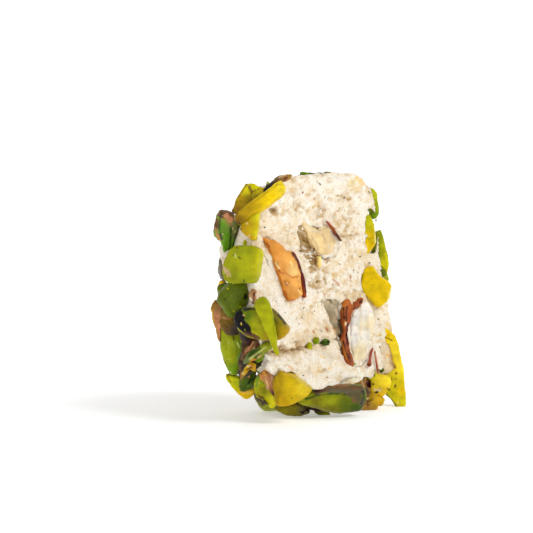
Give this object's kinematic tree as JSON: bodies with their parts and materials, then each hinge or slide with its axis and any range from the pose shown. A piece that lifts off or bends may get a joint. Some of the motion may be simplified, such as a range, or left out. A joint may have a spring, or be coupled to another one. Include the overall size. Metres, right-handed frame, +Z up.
{
  "type": "pistachio nougat half",
  "caption": "Cut half of a soft nougat ball coated in chopped pistachios, with almonds in the cut face.",
  "frame": {"origin": "on the table, under the middle of the piece", "axes": "+Z up; the cut face looks along -Y and leans back from it by 7 degrees; +X is to the right of someone who looks at the cut face"},
  "size_m": [0.0402, 0.0238, 0.0399],
  "materials": {
    "nougat": "satin",
    "roasted_almond": "satin",
    "blanched_almond": "satin",
    "pistachio_yellow": "satin",
    "pistachio_lime": "satin",
    "pistachio_green": "satin",
    "pistachio_skin": "matte"
  },
  "bodies": {
    "root": {"almond_roasted": "roasted_almond", "almond_lower": "blanched_almond", "almond_upper": "blanched_almond", "spike_left": "pistachio_lime", "leaf_left": "pistachio_green", "slab_top": "pistachio_yellow", "strip_top": "pistachio_skin", "leaf_top": "pistachio_yellow", "sliver_top": "pistachio_yellow", "slice_upper": "pistachio_yellow", "kernel_far_left": "pistachio_skin", "slab_left": "pistachio_lime", "kernel_left": "pistachio_green", "chip_left": "pistachio_skin", "kernel_dark": "pistachio_green", "kernel_lower_left": "pistachio_green", "chunk_bottom": "pistachio_yellow", "slice_low_green": "pistachio_lime", "kernel_low_dark": "pistachio_green", "slice_low_left": "pistachio_lime", "kernel_bottom": "pistachio_green", "kernel_under_left": "pistachio_green", "nugget_right": "pistachio_yellow", "slice_right_high": "pistachio_lime", "slice_right_mid": "pistachio_yellow", "slice_right_low": "pistachio_lime", "slice_right_long": "pistachio_yellow", "cluster_right": "pistachio_yellow", "foot_front": "pistachio_green", "slice_top_right": "pistachio_lime", "slice_top_left": "pistachio_green", "foot_back_left": "pistachio_lime", "foot_back_right": "pistachio_green", "coating_back_01": "pistachio_yellow", "coating_back_02": "pistachio_yellow", "coating_back_03": "pistachio_yellow", "coating_back_04": "pistachio_yellow", "coating_back_05": "pistachio_yellow", "coating_back_06": "pistachio_yellow", "coating_back_07": "pistachio_skin", "coating_back_08": "pistachio_yellow", "coating_back_09": "pistachio_skin", "coating_back_10": "pistachio_green", "coating_back_11": "pistachio_green", "coating_back_12": "pistachio_lime", "coating_back_13": "pistachio_green", "coating_back_14": "pistachio_skin", "coating_back_15": "pistachio_green", "coating_back_16": "pistachio_lime", "coating_back_17": "pistachio_lime", "coating_back_18": "pistachio_green", "coating_back_19": "pistachio_yellow", "nougat": "nougat"}
  },
  "joints": []
}
